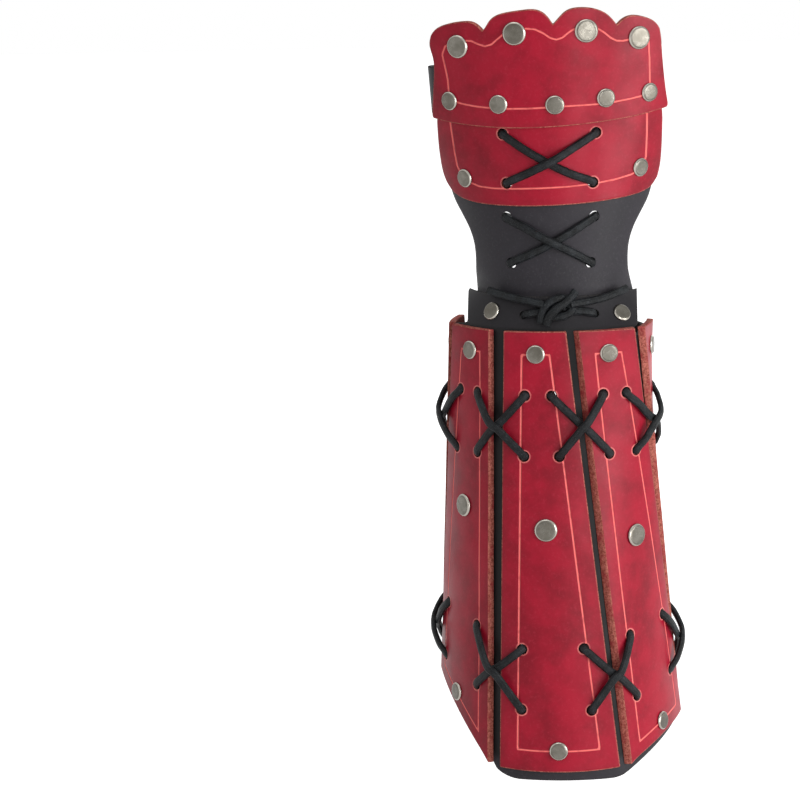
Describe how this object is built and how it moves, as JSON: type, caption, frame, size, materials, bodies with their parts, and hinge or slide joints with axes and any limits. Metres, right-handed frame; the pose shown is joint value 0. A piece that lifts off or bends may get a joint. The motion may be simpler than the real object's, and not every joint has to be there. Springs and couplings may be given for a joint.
{
  "type": "vambrace",
  "caption": "Forearm armour of red leather splints laced over a black cuff, with a riveted hand guard that bends at the wrist and a palm strap.",
  "frame": {"origin": "on the arm's axis at the elbow end, level with the lowest point of the cuff's tongue", "axes": "+Z along the arm from the elbow to the fingers, -Y out of the splinted outer side of the arm, +X to the right when the splints are looked at"},
  "size_m": [0.1417, 0.1114, 0.4],
  "materials": {
    "red_leather": "waxed, satin",
    "black_leather": "satin",
    "antique_nickel": "antiqued nickel",
    "black_lace": "matt"
  },
  "bodies": {
    "cuff": {"forearm_backing": "black_leather", "splint_left_inner": "red_leather", "splint_centre": "red_leather", "splint_right_inner": "red_leather", "splint_top_rivets": "antique_nickel", "splint_middle_rivets": "antique_nickel", "splint_bottom_rivets": "antique_nickel", "lace_far_left_upper": "black_lace", "lace_far_left_lower": "black_lace", "lace_centre_left_upper": "black_lace", "lace_centre_left_lower": "black_lace", "lace_centre_right_upper": "black_lace", "lace_centre_right_lower": "black_lace", "lace_far_right_upper": "black_lace", "lace_far_right_lower": "black_lace", "wrist_tab": "black_leather", "wrist_rivets": "antique_nickel", "wrist_tie": "black_lace", "wrist_tie_knot": "black_lace", "wrist_tie_left_end": "black_lace", "wrist_tie_right_end": "black_lace"},
    "left_wing": {"left_wing_backing": "black_leather", "splint_left_outer": "red_leather", "left_wing_rivets": "antique_nickel", "left_eyelets": "antique_nickel"},
    "right_wing": {"right_wing_backing": "black_leather", "splint_right_outer": "red_leather", "right_wing_rivets": "antique_nickel", "right_eyelets": "antique_nickel"},
    "hand_guard": {"hand_backing": "black_leather", "hand_plate": "red_leather", "knuckle_plate": "red_leather", "palm_strap": "black_leather", "hand_plate_rivets": "antique_nickel", "knuckle_top_rivets": "antique_nickel", "knuckle_lower_rivets": "antique_nickel", "hand_plate_lace": "black_lace", "hand_flap_lace": "black_lace"}
  },
  "joints": [
    {"name": "wrist_flex", "type": "hinge", "parent": "cuff", "child": "hand_guard", "pos_m": [0, -0.0263, 0.258], "axis": [1, 0, 0], "range_deg": [-30, 40], "stiffness_Nm_per_rad": 0.8},
    {"name": "left_wing_open", "type": "hinge", "parent": "cuff", "child": "left_wing", "pos_m": [-0.0636, 0.01196, 0], "axis": [0.047, -0.0741, 0.9961], "range_deg": [-4, 40], "stiffness_Nm_per_rad": 0.5, "deforming": ["lace_far_left_upper", "lace_far_left_lower"]},
    {"name": "right_wing_open", "type": "hinge", "parent": "cuff", "child": "right_wing", "pos_m": [0.0636, 0.01196, 0], "axis": [0.0946, 0.1566, -0.9831], "range_deg": [-4, 40], "stiffness_Nm_per_rad": 0.5, "deforming": ["lace_far_right_upper", "lace_far_right_lower"]}
  ]
}
